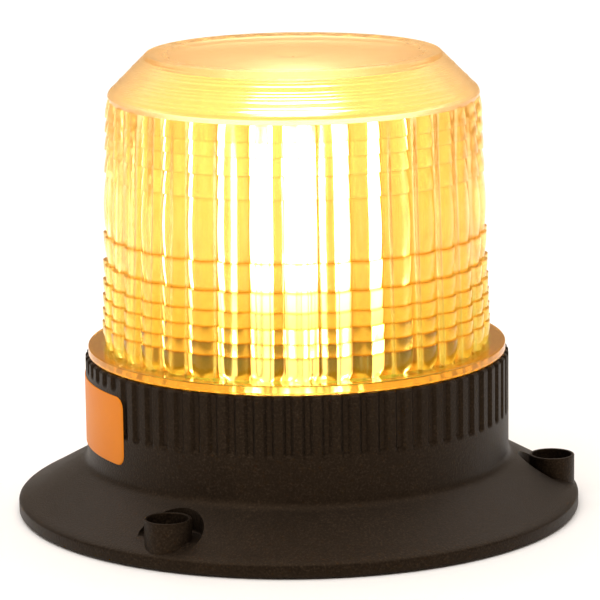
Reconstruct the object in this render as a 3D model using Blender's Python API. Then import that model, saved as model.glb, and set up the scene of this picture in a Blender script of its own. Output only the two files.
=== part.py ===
"""Amber warning beacon: a black screw-down base, a fluted lens that twists off and a lamp tower.

Metres, +Z up, origin at the centre of the underside. Azimuths run from the front (-Y) towards +X.
"""

import math

import bmesh
import bpy
import numpy as np
from mathutils import Matrix

# Fits
GAP = 0.0003
BORE_PLAY = 0.0004

# Flange and collar
BASE_RADIUS = 0.0825
LIP_HEIGHT = 0.0032
LIP_EDGE = 0.0011
LIP_WIDTH = 0.0022
COLLAR_RADIUS = 0.0620
COLLAR_FOOT = 0.0150
COLLAR_FILLET = 0.0016
COLLAR_TOP = 0.0460
COLLAR_CHAMFER = 0.0006
COLLAR_WALL = 0.0023
FLANGE_SKIN = 0.0030
DECK_BOTTOM = 0.0225
DECK_THICKNESS = 0.0025
SHELF_WIDTH = 0.0022
SHELF_HEIGHT = 0.0023
GASKET_THICKNESS = 0.0015
BASE_SIDES = 72
BORE_SIDES = 36

# Grip grooves round the collar, shorter above the smooth label pad
GRIP_COUNT = 72
GRIP_WIDTH = 0.0026
GRIP_DEPTH = 0.0009
GRIP_FOOT = 0.0283
PAD_CENTRE = math.radians(-92.0)
PAD_HALF_ANGLE = math.radians(37.0)
PAD_TOP = 0.0418

# Screw cups, each in a recess of the cone, sized and placed by shares of the flange's width
BOSS_COUNT = 3
BOSS_START = math.radians(-29.0)
BOSS_CIRCLE_SHARE = 0.7104
BOSS_SHARE = 0.3244
CUP_SHARE = 0.2829
RECESS_SHARE = 0.5355
SCREW_HOLE_SHARE = 0.1749
CUP_PAD_SHARE = 0.9560
BOSS_TOP = 0.0130
BOSS_FOOT = 0.0035
CUP_FLOOR = 0.0060
RECESS_FLOOR = 0.0070
RECESS_WALL = 0.0015
BOSS_SIDES = 16
CUP_PAD_SIDES = 4
HOLE_SIDES = 8
SMALL_SIDES = 12

# Bayonet between collar and lens
SEAL_SECTION = 0.0017
SEAL_FACETS = 5
RIB_DROP = 0.0037
RIB_HEIGHT = 0.0023
RIB_PLAY = 0.0005
LUG_COUNT = 3
LUG_HEIGHT = 0.0022
LUG_HALF_ANGLE = math.radians(5.0)
SKIRT_LEAD = 0.0004
TWIST_ANGLE = math.radians(25.0)
STOP_ANGLE = math.radians(4.0)
STOP_PLAY_ANGLE = math.radians(0.4)
SLOT_PLAY_ANGLE = math.radians(0.8)
LUG_SIDES = 2

# Lens
RIM_RADIUS = 0.0611
RIM_HEIGHT = 0.0026
LENS_FOOT_RADIUS = 0.0570
LENS_DRAFT = 0.034
LENS_WALL = 0.0048
SKIRT_WALL = 0.0025
LOWER_RING_HEIGHTS = (0.0067, 0.0038, 0.0043, 0.0045, 0.0056, 0.0082)
BELT_HEIGHT = 0.0177
BELT_BULGE = 0.0008
UPPER_RING_HEIGHTS = (0.0066, 0.0052, 0.0042, 0.0049)
RING_SLOPE = 0.15
BEAD_HEIGHT = 0.0022
BEAD_INSET = 0.0009
SHOULDER_RUN = 0.0106
SHOULDER_RISE = 0.0102
CROWN_EDGE = 0.0010
CROWN_DISH = 0.0012
CROWN_THICKNESS = 0.0030
FLUTE_COUNT = 36
FLUTE_DEPTH = 0.0013
FLUTE_CREST = math.radians(1.4)
FLUTE_SIDES = 3
CORE_SIDES = 36

# Cable grommet and breather in the deck
GROMMET_HOLE_RADIUS = 0.0063
GROMMET_BORE_RADIUS = 0.0035
GROMMET_LIP = 0.0024
GROMMET_LIP_HEIGHT = 0.0020
GROMMET_NOSE = 0.0032
VENT_HOLE_RADIUS = 0.0032
VENT_CAP_RADIUS = 0.0055
VENT_CAP_HEIGHT = 0.0020
VENT_INSET = 0.0244
VENT_AZIMUTH = math.radians(150.0)

# Driver board on its posts
POST_COUNT = 3
POST_START = math.radians(30.0)
POST_INSET = 0.0154
POST_RADIUS = 0.0034
POST_HEIGHT = 0.0047
BOARD_INSET = 0.0094
BOARD_THICKNESS = 0.0016
BOARD_HOLE_RADIUS = 0.0060
SCREW_RADIUS = 0.0012
SCREW_HEAD_RADIUS = 0.0027
SCREW_HEAD_HEIGHT = 0.0020
SCREW_HEAD_TAPER = 0.0008
SCREW_GRIP = 0.0036

# Lamp tower
TOWER_FACES = 6
TOWER_APOTHEM = 0.0130
TOWER_BORE_RADIUS = 0.0080
TOWER_HEIGHT = 0.0800
TOWER_SCREW_RADIUS = 0.0114
TOWER_CAP_THICKNESS = 0.0020
TOWER_CAP_PLUG = 0.0050
STRIP_WIDTH = 0.0120
STRIP_HEIGHT = 0.0660
STRIP_THICKNESS = 0.0012
STRIP_FOOT = 0.0105
LEDS_PER_STRIP = 3
LED_SIZE = 0.0050
LED_HEIGHT = 0.0010

# Parts soldered to the driver board
CAPACITOR_RADIUS = 0.0050
CAPACITOR_HEIGHT = 0.0120
CAPACITOR_EDGE = 0.0006
CAPACITOR_AZIMUTHS = (math.radians(60.0), math.radians(95.0))
INDUCTOR_RADIUS = 0.0060
INDUCTOR_HEIGHT = 0.0070
INDUCTOR_WAIST = 0.0012
INDUCTOR_CHEEK = 0.0014
INDUCTOR_AZIMUTH = math.radians(-60.0)
CHIP_SIZE = (0.0090, 0.0066, 0.0018)
CHIP_AZIMUTH = math.radians(-100.0)
TERMINAL_SIZE = (0.0102, 0.0080, 0.0095)
TERMINAL_WIRE_RADIUS = 0.0014
TERMINAL_WIRE_DEPTH = 0.0050
TERMINAL_CHAMFER = 0.0022
TERMINAL_AZIMUTH = math.radians(180.0)
PARTS_INSET = 0.0170

# Sizes that follow from the ones above
FLANGE_WIDTH = BASE_RADIUS - LIP_WIDTH - COLLAR_RADIUS
FLANGE_BORE = COLLAR_RADIUS + GAP
BOSS_CIRCLE_RADIUS = COLLAR_RADIUS + FLANGE_WIDTH * BOSS_CIRCLE_SHARE
BOSS_RADIUS = (BASE_RADIUS - COLLAR_RADIUS) * BOSS_SHARE
CUP_RADIUS = (BASE_RADIUS - COLLAR_RADIUS) * CUP_SHARE
RECESS_RADIUS = FLANGE_WIDTH * RECESS_SHARE
SCREW_HOLE_RADIUS = FLANGE_WIDTH * SCREW_HOLE_SHARE
COLLAR_BORE = COLLAR_RADIUS - COLLAR_WALL
SKIRT_RADIUS = COLLAR_BORE - SEAL_SECTION - 2 * GAP
RIB_TOP = COLLAR_TOP - RIB_DROP
RIB_BOTTOM = RIB_TOP - RIB_HEIGHT
LUG_TOP = RIB_BOTTOM - BORE_PLAY
LUG_BOTTOM = LUG_TOP - LUG_HEIGHT
LUG_RADIUS = COLLAR_BORE - RIB_PLAY
RIB_RADIUS = SKIRT_RADIUS + RIB_PLAY
SKIRT_FOOT = LUG_BOTTOM - SKIRT_LEAD
RIM_FOOT = COLLAR_TOP + GAP
LEDGE = RIM_FOOT + RIM_HEIGHT
GASKET_SEAT = GASKET_THICKNESS + GAP
DECK_TOP = DECK_BOTTOM + DECK_THICKNESS
BOARD_BOTTOM = DECK_TOP + POST_HEIGHT + GAP
BOARD_TOP = BOARD_BOTTOM + BOARD_THICKNESS
PARTS_FOOT = BOARD_TOP + GAP
TOWER_TOP = PARTS_FOOT + TOWER_HEIGHT
SHELF_TOP = DECK_BOTTOM - GAP
SHELF_BOTTOM = SHELF_TOP - SHELF_HEIGHT
SHELF_RADIUS = COLLAR_BORE - SHELF_WIDTH
DECK_RADIUS = COLLAR_BORE - GAP
POST_CIRCLE_RADIUS = DECK_RADIUS - POST_INSET
VENT_RADIUS_FROM_AXIS = DECK_RADIUS - VENT_INSET
BOARD_RADIUS = DECK_RADIUS - BOARD_INSET
PARTS_CIRCLE_RADIUS = BOARD_RADIUS - PARTS_INSET


def around(radius, azimuth, z):
    """A point at a radius and an azimuth from the front."""
    return (radius * math.sin(azimuth), -radius * math.cos(azimuth), z)


def ring(radius, z, sides, start=0.0):
    """The corners of one turned row."""
    return [around(radius, start + 2 * math.pi * i / sides, z) for i in range(sides)]


def add_skin(bm, rings, closed=False, capped=False):
    """Quads between neighbouring rings; a ring of one point is a pole."""
    loops = [[bm.verts.new(point) for point in points] for points in rings]
    faces = []
    for low, high in zip(loops, loops[1:] + (loops[:1] if closed else [])):
        for i in range(max(len(low), len(high))):
            j = i + 1
            corners = [low[i % len(low)], low[j % len(low)], high[j % len(high)], high[i % len(high)]]
            faces.append(bm.faces.new(list(dict.fromkeys(corners))))
    if capped:
        faces += [bm.faces.new(loops[0]), bm.faces.new(loops[-1])]
    bmesh.ops.recalc_face_normals(bm, faces=faces)
    return [vert for loop in loops for vert in loop]


def add_turned(bm, profile, sides, centre=(0.0, 0.0)):
    """A profile of (radius, z) turned round the vertical through centre; radius 0 is a pole."""
    rows = [[(0.0, 0.0, z)] if radius == 0.0 else ring(radius, z, sides) for radius, z in profile]
    verts = add_skin(bm, rows, closed=profile[0][0] != 0.0)
    bmesh.ops.translate(bm, verts=verts, vec=(*centre, 0.0))


def add_block(bm, radii, width, heights, azimuth):
    """A block square to a radius: from one radius to another, of one width, between two heights."""
    (near, far), (low, high) = radii, heights
    size = Matrix.Diagonal((width, far - near, high - low, 1.0))
    place = Matrix.Translation((0.0, -(near + far) / 2, (low + high) / 2))
    turn = Matrix.Rotation(azimuth, 4, "Z")
    bmesh.ops.create_cube(bm, size=1.0, matrix=turn @ place @ size)


def add_sector(bm, radii, heights, azimuths, sides):
    """A stretch of a ring between two azimuths."""
    (near, far), (low, high) = radii, heights
    section = ((near, low), (far, low), (far, high), (near, high))
    steps = np.linspace(azimuths[0], azimuths[1], sides + 1)
    add_skin(bm, [[around(r, a, z) for r, z in section] for a in steps], capped=True)


def plastic(name, colour, roughness, metallic=0.0):
    """A Principled material."""
    material = bpy.data.materials.new(name)
    material.use_nodes = True
    shader = material.node_tree.nodes["Principled BSDF"]
    shader.inputs["Base Color"].default_value = (*colour, 1.0)
    shader.inputs["Roughness"].default_value = roughness
    shader.inputs["Metallic"].default_value = metallic
    return material


def make(name, bm, material=None, parent=None, sharp=30.0):
    """An object from a bmesh, shaded smooth except at its sharp edges."""
    mesh = bpy.data.meshes.new(name)
    bm.to_mesh(mesh)
    bm.free()
    mesh.shade_smooth()
    mesh.set_sharp_from_angle(angle=math.radians(sharp))
    item = bpy.data.objects.new(name, mesh)
    bpy.context.scene.collection.objects.link(item)
    item.parent = parent
    if material is not None:
        mesh.materials.append(material)
    return item


def combine(item, name, operation, bm):
    """A Boolean of an object with a hidden tool body."""
    tool = make(name, bm, parent=item.parent)
    tool.hide_render = True
    tool.display_type = "WIRE"
    boolean = item.modifiers.new(name, "BOOLEAN")
    boolean.operation = operation
    boolean.solver = "EXACT"
    boolean.object = tool


def cone_height(radius):
    """The flange's upper surface, from the lip up to the collar."""
    foot = BASE_RADIUS - LIP_EDGE
    share = (foot - radius) / (foot - COLLAR_RADIUS)
    return LIP_HEIGHT + LIP_EDGE + share * (COLLAR_FOOT - LIP_HEIGHT - LIP_EDGE)


def lens_crest(z):
    """The outer radius of the lens columns, which lean in with height."""
    return LENS_FOOT_RADIUS - (z - LEDGE) * LENS_DRAFT


def boss_azimuths():
    return [BOSS_START + 2 * math.pi * k / BOSS_COUNT for k in range(BOSS_COUNT)]


def post_azimuths():
    return [POST_START + 2 * math.pi * k / POST_COUNT for k in range(POST_COUNT)]


def lug_azimuths():
    return [FLUTE_CREST + 2 * math.pi * k / LUG_COUNT for k in range(LUG_COUNT)]


def tower_screw_azimuths():
    return [math.pi / 2, -math.pi / 2]


def pad_covers(azimuth):
    """Whether an azimuth is on the smooth pad."""
    offset = (azimuth - PAD_CENTRE + math.pi) % (2 * math.pi) - math.pi
    return abs(offset) < PAD_HALF_ANGLE


def flange_profile():
    """Half section of the flange: lip, cone and the fillet that runs up the collar."""
    fillet_radius = FLANGE_BORE + COLLAR_FILLET
    lip = BASE_RADIUS - LIP_WIDTH
    return [
        (BASE_RADIUS, 0.0),
        (BASE_RADIUS, LIP_HEIGHT),
        (BASE_RADIUS - LIP_EDGE, LIP_HEIGHT + LIP_EDGE),
        (fillet_radius, cone_height(fillet_radius)),
        (FLANGE_BORE, COLLAR_FOOT + COLLAR_FILLET),
        (FLANGE_BORE, COLLAR_FOOT - FLANGE_SKIN),
        (lip, cone_height(lip) - FLANGE_SKIN),
        (lip, 0.0),
    ]


def add_cup_pad(bm, azimuth):
    """A wedge under the cone that backs the recess round one screw cup."""
    near = BOSS_CIRCLE_RADIUS - RECESS_RADIUS - RECESS_WALL
    far = COLLAR_RADIUS + FLANGE_WIDTH * CUP_PAD_SHARE
    section = [(near, GASKET_SEAT), (far, GASKET_SEAT)]
    section += [(radius, cone_height(radius) - FLANGE_SKIN / 2) for radius in (far, near)]
    half_angle = math.asin((RECESS_RADIUS + RECESS_WALL) / BOSS_CIRCLE_RADIUS)
    steps = np.linspace(azimuth - half_angle, azimuth + half_angle, CUP_PAD_SIDES + 1)
    add_skin(bm, [[around(r, a, z) for r, z in section] for a in steps], capped=True)


def base_flange(material, parent):
    """The cone-shaped flange that is welded round the collar's foot, with three open screw cups."""
    bm = bmesh.new()
    add_turned(bm, flange_profile(), BASE_SIDES)
    flange = make("base_flange", bm, material, parent)
    bm = bmesh.new()
    for azimuth in boss_azimuths():
        add_cup_pad(bm, azimuth)
    combine(flange, "cup_pads", "UNION", bm)
    top, under = COLLAR_FOOT + COLLAR_FILLET, -LIP_HEIGHT
    seat, inside = (CUP_FLOOR + BOSS_FOOT) / 2, (CUP_RADIUS + BOSS_RADIUS) / 2
    recess = [
        (0.0, top),
        (RECESS_RADIUS, top),
        (RECESS_RADIUS, RECESS_FLOOR),
        (inside, RECESS_FLOOR),
        (inside, seat),
        (0.0, seat),
    ]
    cup = [
        (0.0, CUP_FLOOR),
        (CUP_RADIUS, CUP_FLOOR),
        (CUP_RADIUS, BOSS_TOP),
        (BOSS_RADIUS, BOSS_TOP),
        (BOSS_RADIUS, BOSS_FOOT),
        (0.0, BOSS_FOOT),
    ]
    hole = [(0.0, top), (SCREW_HOLE_RADIUS, top), (SCREW_HOLE_RADIUS, under), (0.0, under)]
    steps = (
        ("cup_recesses", "DIFFERENCE", recess),
        ("screw_cups", "UNION", cup),
        ("screw_holes", "DIFFERENCE", hole),
    )
    for name, operation, profile in steps:
        bm = bmesh.new()
        for azimuth in boss_azimuths():
            add_turned(bm, profile, BOSS_SIDES, around(BOSS_CIRCLE_RADIUS, azimuth, 0.0)[:2])
        combine(flange, name, operation, bm)


def collar_bore_profile():
    """Half section of the space inside the collar, drawn in at the bayonet rib and the deck's shelf."""
    over = COLLAR_WALL
    return [
        (0.0, COLLAR_TOP + over),
        (COLLAR_BORE, COLLAR_TOP + over),
        (COLLAR_BORE, RIB_TOP),
        (RIB_RADIUS, RIB_TOP),
        (RIB_RADIUS, RIB_BOTTOM),
        (COLLAR_BORE, RIB_BOTTOM),
        (COLLAR_BORE, SHELF_TOP),
        (SHELF_RADIUS, SHELF_TOP),
        (SHELF_RADIUS, SHELF_BOTTOM),
        (COLLAR_BORE, SHELF_BOTTOM),
        (COLLAR_BORE, GASKET_SEAT - over),
        (0.0, GASKET_SEAT - over),
    ]


def add_bayonet_stops(bm):
    """Blocks under the rib that the lugs turn against."""
    radii = (RIB_RADIUS, COLLAR_BORE + COLLAR_WALL / 4)
    heights = (LUG_BOTTOM, RIB_BOTTOM + RIB_HEIGHT / 4)
    for azimuth in lug_azimuths():
        end = azimuth - LUG_HALF_ANGLE - STOP_PLAY_ANGLE
        add_sector(bm, radii, heights, (end - STOP_ANGLE, end), LUG_SIDES)


def add_collar_cuts(bm):
    """Bayonet entry slots through the rib, and grip grooves that are open at the top."""
    half_slot = LUG_HALF_ANGLE + SLOT_PLAY_ANGLE
    radii = (RIB_RADIUS - COLLAR_WALL, COLLAR_BORE + GAP)
    for azimuth in lug_azimuths():
        middle = azimuth + TWIST_ANGLE
        azimuths = (middle - half_slot, middle + half_slot)
        add_sector(bm, radii, (RIB_BOTTOM - GAP, RIB_TOP + GAP), azimuths, LUG_SIDES)
    radii = (COLLAR_RADIUS - GRIP_DEPTH, COLLAR_RADIUS + GRIP_DEPTH)
    for k in range(GRIP_COUNT):
        azimuth = 2 * math.pi * (k + 0.5) / GRIP_COUNT
        foot = PAD_TOP if pad_covers(azimuth) else GRIP_FOOT
        add_block(bm, radii, GRIP_WIDTH, (foot, COLLAR_TOP + GRIP_DEPTH), azimuth)


def base_collar(material, parent):
    """The upright collar: grip grooves outside, bayonet rib and deck shelf inside."""
    bm = bmesh.new()
    profile = [
        (0.0, COLLAR_TOP),
        (COLLAR_RADIUS - COLLAR_CHAMFER, COLLAR_TOP),
        (COLLAR_RADIUS, COLLAR_TOP - COLLAR_CHAMFER),
        (COLLAR_RADIUS, GASKET_SEAT),
        (0.0, GASKET_SEAT),
    ]
    add_turned(bm, profile, BASE_SIDES)
    collar = make("base_collar", bm, material, parent)
    bm = bmesh.new()
    add_turned(bm, collar_bore_profile(), BORE_SIDES)
    combine(collar, "collar_bore", "DIFFERENCE", bm)
    bm = bmesh.new()
    add_bayonet_stops(bm)
    combine(collar, "bayonet_stops", "UNION", bm)
    bm = bmesh.new()
    add_collar_cuts(bm)
    combine(collar, "collar_cuts", "DIFFERENCE", bm)


def deck_plate(material, parent):
    """The plate on the collar's shelf: posts for the board, and holes for the grommet and breather."""
    bm = bmesh.new()
    section = [
        (DECK_RADIUS, DECK_TOP),
        (DECK_RADIUS, DECK_BOTTOM),
        (GROMMET_HOLE_RADIUS, DECK_BOTTOM),
        (GROMMET_HOLE_RADIUS, DECK_TOP),
    ]
    add_turned(bm, section, BORE_SIDES)
    deck = make("deck_plate", bm, material, parent)
    places = [around(POST_CIRCLE_RADIUS, azimuth, 0.0)[:2] for azimuth in post_azimuths()]
    top, foot = DECK_TOP + POST_HEIGHT, DECK_BOTTOM + DECK_THICKNESS / 2
    bm = bmesh.new()
    for place in places:
        add_turned(bm, [(0.0, top), (POST_RADIUS, top), (POST_RADIUS, foot), (0.0, foot)], HOLE_SIDES, place)
    combine(deck, "board_posts", "UNION", bm)
    bm = bmesh.new()
    over, pilot = DECK_THICKNESS, SCREW_RADIUS + BORE_PLAY
    for place in places:
        hole = [(0.0, top + over), (pilot, top + over), (pilot, DECK_TOP), (0.0, DECK_TOP)]
        add_turned(bm, hole, HOLE_SIDES, place)
    vent = around(VENT_RADIUS_FROM_AXIS, VENT_AZIMUTH, 0.0)[:2]
    top, foot = DECK_TOP + over, DECK_BOTTOM - over
    hole = [(0.0, top), (VENT_HOLE_RADIUS, top), (VENT_HOLE_RADIUS, foot), (0.0, foot)]
    add_turned(bm, hole, HOLE_SIDES, vent)
    combine(deck, "deck_holes", "DIFFERENCE", bm)


def base_gasket(material, parent):
    """The flat rubber ring in the lip, pierced for the fixing screws."""
    inner, outer = COLLAR_BORE + GAP, BASE_RADIUS - LIP_WIDTH - GAP
    bm = bmesh.new()
    section = [(outer, GASKET_THICKNESS), (outer, 0.0), (inner, 0.0), (inner, GASKET_THICKNESS)]
    add_turned(bm, section, BORE_SIDES)
    gasket = make("base_gasket", bm, material, parent)
    bm = bmesh.new()
    for azimuth in boss_azimuths():
        x, y, _ = around(BOSS_CIRCLE_RADIUS, azimuth, 0.0)
        top, foot = GASKET_THICKNESS * 2, -GASKET_THICKNESS
        hole = [(0.0, top), (SCREW_HOLE_RADIUS, top), (SCREW_HOLE_RADIUS, foot), (0.0, foot)]
        add_turned(bm, hole, HOLE_SIDES, (x, y))
    combine(gasket, "gasket_holes", "DIFFERENCE", bm)


def cable_grommet(material, parent):
    """The rubber grommet in the middle of the deck: a waist between two lips, and a tapered nose."""
    waist, lip = GROMMET_HOLE_RADIUS - GAP, GROMMET_HOLE_RADIUS + GROMMET_LIP
    top, under = DECK_TOP + GAP, DECK_BOTTOM - GAP
    bm = bmesh.new()
    profile = [
        (GROMMET_BORE_RADIUS, top + GROMMET_LIP_HEIGHT),
        (lip - GROMMET_LIP / 2, top + GROMMET_LIP_HEIGHT),
        (lip, top),
        (waist, top),
        (waist, under),
        (lip, under),
        (waist, under - GROMMET_NOSE),
        (GROMMET_BORE_RADIUS, under - GROMMET_NOSE),
    ]
    add_turned(bm, profile, SMALL_SIDES)
    make("cable_grommet", bm, material, parent)


def vent_plug(material, parent):
    """The breather plug pushed up into the deck from below."""
    stem, under = VENT_HOLE_RADIUS - GAP, DECK_BOTTOM - GAP
    bm = bmesh.new()
    profile = [
        (0.0, DECK_TOP + GAP),
        (stem, DECK_TOP + GAP),
        (stem, under),
        (VENT_CAP_RADIUS, under),
        (VENT_CAP_RADIUS, under - VENT_CAP_HEIGHT / 2),
        (stem, under - VENT_CAP_HEIGHT),
        (0.0, under - VENT_CAP_HEIGHT),
    ]
    x, y, _ = around(VENT_RADIUS_FROM_AXIS, VENT_AZIMUTH, 0.0)
    add_turned(bm, profile, HOLE_SIDES, (x, y))
    make("vent_plug", bm, material, parent)


def screw(name, place, seat, grip, upwards, material, parent):
    """A pan-head screw whose head bears on a seat height and whose shank runs through it."""
    way = 1.0 if upwards else -1.0
    head = seat - way * SCREW_HEAD_HEIGHT
    bm = bmesh.new()
    profile = [
        (0.0, head),
        (SCREW_HEAD_RADIUS - SCREW_HEAD_TAPER, head),
        (SCREW_HEAD_RADIUS, seat - way * SCREW_HEAD_HEIGHT / 2),
        (SCREW_HEAD_RADIUS, seat),
        (SCREW_RADIUS, seat),
        (SCREW_RADIUS, seat + way * grip),
        (0.0, seat + way * grip),
    ]
    add_turned(bm, profile, HOLE_SIDES, place[:2])
    make(name, bm, material, parent)


def driver_board(material, parent):
    """The round circuit board, with its screw holes."""
    bm = bmesh.new()
    section = [
        (BOARD_RADIUS, BOARD_TOP),
        (BOARD_RADIUS, BOARD_BOTTOM),
        (BOARD_HOLE_RADIUS, BOARD_BOTTOM),
        (BOARD_HOLE_RADIUS, BOARD_TOP),
    ]
    add_turned(bm, section, BASE_SIDES // 2)
    board = make("driver_board", bm, material, parent)
    bm = bmesh.new()
    places = [around(POST_CIRCLE_RADIUS, a, 0.0) for a in post_azimuths()]
    places += [around(TOWER_SCREW_RADIUS, a, 0.0) for a in tower_screw_azimuths()]
    radius, top, foot = SCREW_RADIUS + BORE_PLAY, BOARD_TOP + POST_HEIGHT, BOARD_BOTTOM - POST_HEIGHT
    for x, y, _ in places:
        add_turned(bm, [(0.0, top), (radius, top), (radius, foot), (0.0, foot)], HOLE_SIDES, (x, y))
    combine(board, "board_holes", "DIFFERENCE", bm)


def heat_sink(material, parent):
    """The six-sided aluminium column, bored through, with two screw holes in its foot."""
    corner = TOWER_APOTHEM / math.cos(math.pi / TOWER_FACES)
    bm = bmesh.new()
    start = math.pi / TOWER_FACES
    rows = [ring(corner, z, TOWER_FACES, start) for z in (PARTS_FOOT, TOWER_TOP)]
    add_skin(bm, rows, capped=True)
    column = make("heat_sink", bm, material, parent)
    bm = bmesh.new()
    top, foot = TOWER_TOP + POST_HEIGHT, PARTS_FOOT - POST_HEIGHT
    bore = [(0.0, top), (TOWER_BORE_RADIUS, top), (TOWER_BORE_RADIUS, foot), (0.0, foot)]
    add_turned(bm, bore, SMALL_SIDES)
    radius = SCREW_RADIUS + BORE_PLAY
    top = PARTS_FOOT + 2 * SCREW_GRIP
    for azimuth in tower_screw_azimuths():
        x, y, _ = around(TOWER_SCREW_RADIUS, azimuth, 0.0)
        add_turned(bm, [(0.0, top), (radius, top), (radius, foot), (0.0, foot)], HOLE_SIDES, (x, y))
    combine(column, "heat_sink_bores", "DIFFERENCE", bm)


def tower_cap(material, parent):
    """The cap that plugs the top of the column."""
    foot = TOWER_TOP + GAP
    plug = TOWER_BORE_RADIUS - GAP * 2
    bm = bmesh.new()
    profile = [
        (0.0, foot + TOWER_CAP_THICKNESS),
        (TOWER_APOTHEM - TOWER_CAP_THICKNESS / 2, foot + TOWER_CAP_THICKNESS),
        (TOWER_APOTHEM, foot + TOWER_CAP_THICKNESS / 2),
        (TOWER_APOTHEM, foot),
        (plug, foot),
        (plug, foot - TOWER_CAP_PLUG),
        (0.0, foot - TOWER_CAP_PLUG),
    ]
    add_turned(bm, profile, SMALL_SIDES)
    make("tower_cap", bm, material, parent)


def led_strip(number, board_material, led_material, parent):
    """One lamp strip on a face of the column, with its row of lamps."""
    azimuth = 2 * math.pi * number / TOWER_FACES
    back = TOWER_APOTHEM + GAP
    front = back + STRIP_THICKNESS
    foot = PARTS_FOOT + STRIP_FOOT
    bm = bmesh.new()
    add_block(bm, (back, front), STRIP_WIDTH, (foot, foot + STRIP_HEIGHT), azimuth)
    make(f"led_board_{number + 1}", bm, board_material, parent)
    for k in range(LEDS_PER_STRIP):
        middle = foot + STRIP_HEIGHT * (k + 0.5) / LEDS_PER_STRIP
        radii = (front + GAP, front + GAP + LED_HEIGHT)
        bm = bmesh.new()
        add_block(bm, radii, LED_SIZE, (middle - LED_SIZE / 2, middle + LED_SIZE / 2), azimuth)
        make(f"led_{number + 1}_{k + 1}", bm, led_material, parent)


def capacitor(name, azimuth, material, parent):
    """An electrolytic can standing on the driver board."""
    top, rim = PARTS_FOOT + CAPACITOR_HEIGHT, CAPACITOR_RADIUS - CAPACITOR_EDGE
    bm = bmesh.new()
    profile = [
        (0.0, top),
        (rim, top),
        (CAPACITOR_RADIUS, top - CAPACITOR_EDGE),
        (CAPACITOR_RADIUS, PARTS_FOOT),
        (0.0, PARTS_FOOT),
    ]
    add_turned(bm, profile, SMALL_SIDES, around(PARTS_CIRCLE_RADIUS, azimuth, 0.0)[:2])
    make(name, bm, material, parent)


def inductor(azimuth, material, parent):
    """A drum core with its winding drawn in between two cheeks."""
    top, waist = PARTS_FOOT + INDUCTOR_HEIGHT, INDUCTOR_RADIUS - INDUCTOR_WAIST
    bm = bmesh.new()
    profile = [
        (0.0, top),
        (INDUCTOR_RADIUS, top),
        (INDUCTOR_RADIUS, top - INDUCTOR_CHEEK),
        (waist, top - INDUCTOR_CHEEK),
        (waist, PARTS_FOOT + INDUCTOR_CHEEK),
        (INDUCTOR_RADIUS, PARTS_FOOT + INDUCTOR_CHEEK),
        (INDUCTOR_RADIUS, PARTS_FOOT),
        (0.0, PARTS_FOOT),
    ]
    add_turned(bm, profile, SMALL_SIDES, around(PARTS_CIRCLE_RADIUS, azimuth, 0.0)[:2])
    make("inductor", bm, material, parent)


def driver_chip(azimuth, material, parent):
    """The flasher and current driver."""
    width, depth, height = CHIP_SIZE
    radii = (PARTS_CIRCLE_RADIUS - depth / 2, PARTS_CIRCLE_RADIUS + depth / 2)
    bm = bmesh.new()
    add_block(bm, radii, width, (PARTS_FOOT, PARTS_FOOT + height), azimuth)
    make("driver_chip", bm, material, parent)


def terminal_block(azimuth, material, parent):
    """The two-way supply terminal: a block with a sloped back and two wire holes towards the axis."""
    width, depth, height = TERMINAL_SIZE
    near, far = PARTS_CIRCLE_RADIUS - depth / 2, PARTS_CIRCLE_RADIUS + depth / 2
    top = PARTS_FOOT + height
    side = [(near, PARTS_FOOT), (far, PARTS_FOOT), (far, top - TERMINAL_CHAMFER)]
    side += [(far - TERMINAL_CHAMFER, top), (near, top)]
    turn = Matrix.Rotation(azimuth, 4, "Z")
    bm = bmesh.new()
    rows = [[(x, -y, z) for y, z in side] for x in (-width / 2, width / 2)]
    bmesh.ops.transform(bm, matrix=turn, verts=add_skin(bm, rows, capped=True))
    block = make("terminal_block", bm, material, parent)
    bm = bmesh.new()
    for side_way in (-1.0, 1.0):
        place = Matrix.Translation((side_way * width / 4, -near, PARTS_FOOT + height / 3))
        tip = Matrix.Rotation(math.pi / 2, 4, "X")
        hole = bmesh.ops.create_cone(
            bm,
            cap_ends=True,
            segments=HOLE_SIDES,
            radius1=TERMINAL_WIRE_RADIUS,
            radius2=TERMINAL_WIRE_RADIUS,
            depth=2 * TERMINAL_WIRE_DEPTH,
            matrix=turn @ place @ tip,
        )
        bmesh.ops.recalc_face_normals(bm, faces=list({f for v in hole["verts"] for f in v.link_faces}))
    combine(block, "terminal_wire_holes", "DIFFERENCE", bm)


def lens_seal(material, parent):
    """The O-ring on the bayonet rib, between collar and skirt."""
    radius = SEAL_SECTION / 2
    middle, height = SKIRT_RADIUS + GAP + radius, RIB_TOP + GAP + radius
    turns = [2 * math.pi * k / SEAL_FACETS for k in range(SEAL_FACETS)]
    bm = bmesh.new()
    section = [(middle + radius * math.cos(t), height + radius * math.sin(t)) for t in turns]
    add_turned(bm, section, BORE_SIDES)
    make("lens_seal", bm, material, parent)


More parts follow.
